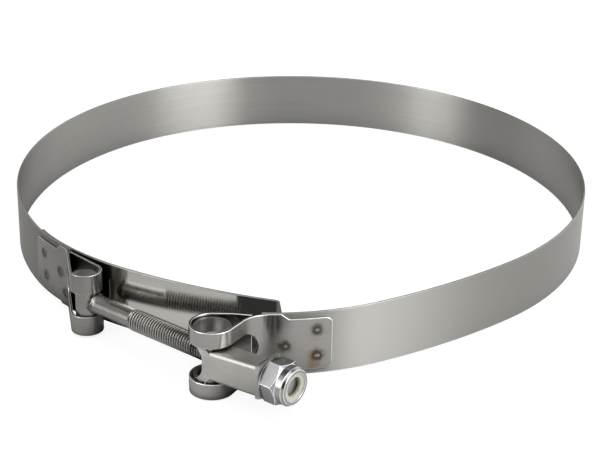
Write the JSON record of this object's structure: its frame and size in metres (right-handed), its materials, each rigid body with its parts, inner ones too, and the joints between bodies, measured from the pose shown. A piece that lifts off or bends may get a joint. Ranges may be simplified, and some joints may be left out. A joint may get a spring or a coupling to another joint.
{
  "type": "t-bolt band clamp",
  "caption": "Flat steel band ring with looped strap ends, drawn together by a cross-headed bolt, a rolled trunnion and a lock nut, with an inner tongue bridging the gap.",
  "frame": {"origin": "centre of the round part of the band's bore, at half the band's width", "axes": "+Z along the ring's axis, upwards as pictured; the bolt crosses the gap on the -Y side, its head towards -X and its nut towards +X"},
  "size_m": [0.1843, 0.2233, 0.0202],
  "materials": {
    "band_steel": "cold rolled, fine grain along the strip",
    "tongue_steel": "cold rolled, fine grain along the strip",
    "left_strap_steel": "cold rolled, blank edges bright",
    "right_strap_steel": "cold rolled, blank edges bright",
    "bolt_steel": "rolled thread, bright crests",
    "trunnion_steel": "stamped sheet, folds bright",
    "nut_steel": "plain, lightly tumbled",
    "nylon": "natural, slightly translucent"
  },
  "bodies": {
    "clamp_band": {"band": "band_steel", "tongue": "tongue_steel", "left_loop_strap": "left_strap_steel", "right_loop_strap": "right_strap_steel"},
    "bolt": {"t_bolt": "bolt_steel"},
    "swivel": {"trunnion": "trunnion_steel"},
    "nut": {"lock_nut": "nut_steel", "nylon_insert": "nylon"}
  },
  "joints": [
    {"name": "bolt_swing", "type": "hinge", "parent": "clamp_band", "child": "bolt", "pos_m": [-0.06088, -0.07961, 0], "axis": [0, 0, 1], "range_deg": [-0.4, 0.4]},
    {"name": "trunnion_swing", "type": "hinge", "parent": "clamp_band", "child": "swivel", "pos_m": [-0.02331, -0.11146, 0], "axis": [0, 0, 1], "range_deg": [-1.6, 1.6]},
    {"name": "nut_turn", "type": "hinge", "parent": "bolt", "child": "nut", "pos_m": [-0.00694, -0.12244, 0], "axis": [0.7831, -0.6218, 0], "continuous": true}
  ],
  "couplings": [
    {"joint": "trunnion_swing", "follows": "bolt_swing", "ratio": 3.6624}
  ]
}
